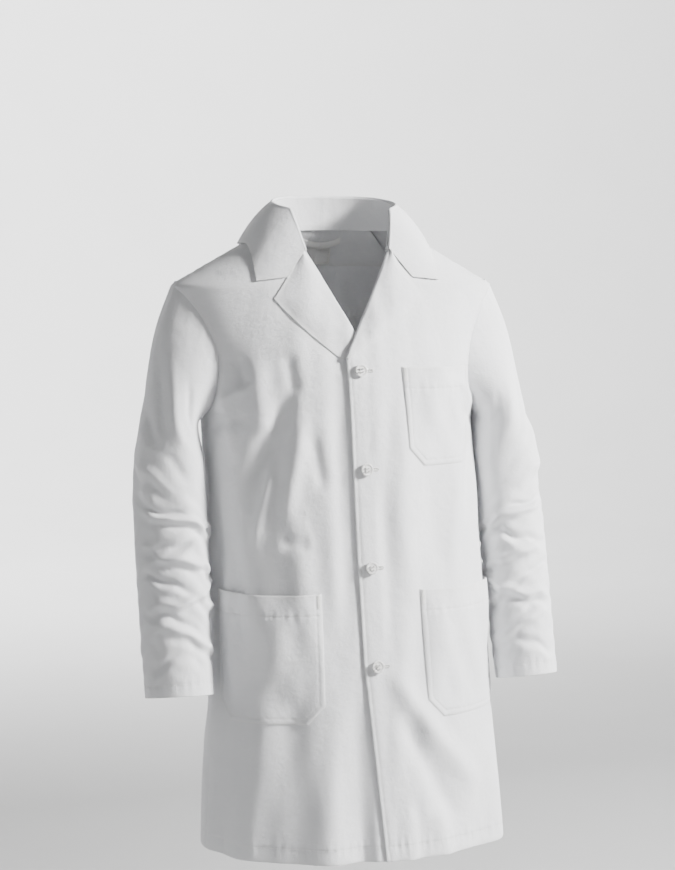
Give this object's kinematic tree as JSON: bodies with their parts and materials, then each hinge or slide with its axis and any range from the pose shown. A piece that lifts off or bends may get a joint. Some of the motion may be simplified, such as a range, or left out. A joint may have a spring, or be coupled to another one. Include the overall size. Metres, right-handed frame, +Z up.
{
  "type": "laboratory coat",
  "caption": "White knee-length lab coat, buttoned as worn, with notch lapels, patch pockets, long sleeves that swing and bend, and open skirts.",
  "frame": {"origin": "midway between the two points where the shoulder seams meet the collar", "axes": "+Z up, -Y to the front, +X to the wearer's left"},
  "size_m": [0.6357, 0.3066, 0.9282],
  "materials": {
    "white_twill": "woven matt twill",
    "white_thread": "spun thread",
    "cotton_tape": "woven tape",
    "pearl_resin": "pearly gloss"
  },
  "bodies": {
    "coat": {"left_front": "white_twill", "left_front_facing": "white_twill", "left_back": "white_twill", "left_lapel": "white_twill", "right_front": "white_twill", "right_front_facing": "white_twill", "right_back": "white_twill", "right_lapel": "white_twill", "back_neck_facing": "white_twill", "collar_stand": "white_twill", "collar_leaf": "white_twill", "chest_pocket": "white_twill", "chest_pocket_hem": "white_twill", "left_pocket": "white_twill", "left_pocket_hem": "white_twill", "right_pocket": "white_twill", "right_pocket_hem": "white_twill", "vent_tack": "white_thread", "chest_pocket_inner_bartack": "white_thread", "chest_pocket_outer_bartack": "white_thread", "left_pocket_inner_bartack": "white_thread", "left_pocket_outer_bartack": "white_thread", "right_pocket_inner_bartack": "white_thread", "right_pocket_outer_bartack": "white_thread", "button_1_shank": "white_thread", "buttonhole_1": "white_thread", "button_2_shank": "white_thread", "buttonhole_2": "white_thread", "button_3_shank": "white_thread", "buttonhole_3": "white_thread", "button_4_shank": "white_thread", "buttonhole_4": "white_thread", "size_label": "cotton_tape"},
    "left_skirt": {"left_front_skirt": "white_twill", "left_skirt_facing": "white_twill", "left_front_hem": "white_twill"},
    "right_skirt": {"right_front_skirt": "white_twill", "right_skirt_facing": "white_twill", "right_front_hem": "white_twill"},
    "left_vent": {"left_back_skirt": "white_twill", "left_back_hem": "white_twill"},
    "right_vent": {"right_back_skirt": "white_twill", "right_back_hem": "white_twill"},
    "left_sleeve": {"left_upper_sleeve": "white_twill"},
    "right_sleeve": {"right_upper_sleeve": "white_twill"},
    "left_forearm": {"left_forearm_sleeve": "white_twill", "left_cuff_hem": "white_twill"},
    "right_forearm": {"right_forearm_sleeve": "white_twill", "right_cuff_hem": "white_twill"},
    "hanger": {"hanger_loop": "cotton_tape"},
    "fastener_1": {"button_1": "pearl_resin", "button_1_thread": "white_thread"},
    "fastener_2": {"button_2": "pearl_resin", "button_2_thread": "white_thread"},
    "fastener_3": {"button_3": "pearl_resin", "button_3_thread": "white_thread"},
    "fastener_4": {"button_4": "pearl_resin", "button_4_thread": "white_thread"}
  },
  "joints": [
    {"name": "left_sleeve_raise", "type": "hinge", "parent": "coat", "child": "left_sleeve", "pos_m": [0.241, 0.01145, -0.088], "axis": [0, -1, 0], "range_deg": [0, 60]},
    {"name": "right_sleeve_raise", "type": "hinge", "parent": "coat", "child": "right_sleeve", "pos_m": [-0.241, 0.01145, -0.088], "axis": [0, 1, 0], "range_deg": [0, 60]},
    {"name": "left_elbow_bend", "type": "hinge", "parent": "left_sleeve", "child": "left_forearm", "pos_m": [0.26584, -0.016, -0.392], "axis": [-1, 0, 0], "range_deg": [0, 75]},
    {"name": "right_elbow_bend", "type": "hinge", "parent": "right_sleeve", "child": "right_forearm", "pos_m": [-0.25416, -0.016, -0.392], "axis": [-1, 0, 0], "range_deg": [0, 75]},
    {"name": "left_skirt_open", "type": "hinge", "parent": "coat", "child": "left_skirt", "pos_m": [0.232, -0.0306, -0.8], "axis": [0, 0, 1], "range_deg": [0, 20]},
    {"name": "right_skirt_open", "type": "hinge", "parent": "coat", "child": "right_skirt", "pos_m": [-0.2, -0.0306, -0.8], "axis": [0, 0, -1], "range_deg": [0, 16]},
    {"name": "left_vent_open", "type": "hinge", "parent": "coat", "child": "left_vent", "pos_m": [0.231, -0.029, -0.77], "axis": [0, 0, -1], "range_deg": [0, 15]},
    {"name": "right_vent_open", "type": "hinge", "parent": "coat", "child": "right_vent", "pos_m": [-0.199, -0.029, -0.77], "axis": [0, 0, 1], "range_deg": [0, 12]},
    {"name": "hanger_lift", "type": "hinge", "parent": "coat", "child": "hanger", "pos_m": [0, 0.0787, -0.0195], "axis": [-1, 0, 0], "range_deg": [0, 80]},
    {"name": "button_1_twist", "type": "hinge", "parent": "coat", "child": "fastener_1", "pos_m": [0.00103, -0.11481, -0.206], "axis": [0, -0.9795, 0.2016], "range_deg": [-25, 25]},
    {"name": "button_2_twist", "type": "hinge", "parent": "coat", "child": "fastener_2", "pos_m": [0.00472, -0.13031, -0.343], "axis": [0, -0.997, 0.0771], "range_deg": [-25, 25]},
    {"name": "button_3_twist", "type": "hinge", "parent": "coat", "child": "fastener_3", "pos_m": [0.00829, -0.14224, -0.48], "axis": [0, -0.9947, 0.103], "range_deg": [-25, 25]},
    {"name": "button_4_twist", "type": "hinge", "parent": "coat", "child": "fastener_4", "pos_m": [0.01268, -0.15676, -0.617], "axis": [0, -0.995, 0.0996], "range_deg": [-25, 25]}
  ],
  "couplings": [
    {"joint": "right_skirt_open", "follows": "left_skirt_open", "ratio": 0.8},
    {"joint": "right_vent_open", "follows": "left_vent_open", "ratio": 0.8}
  ]
}
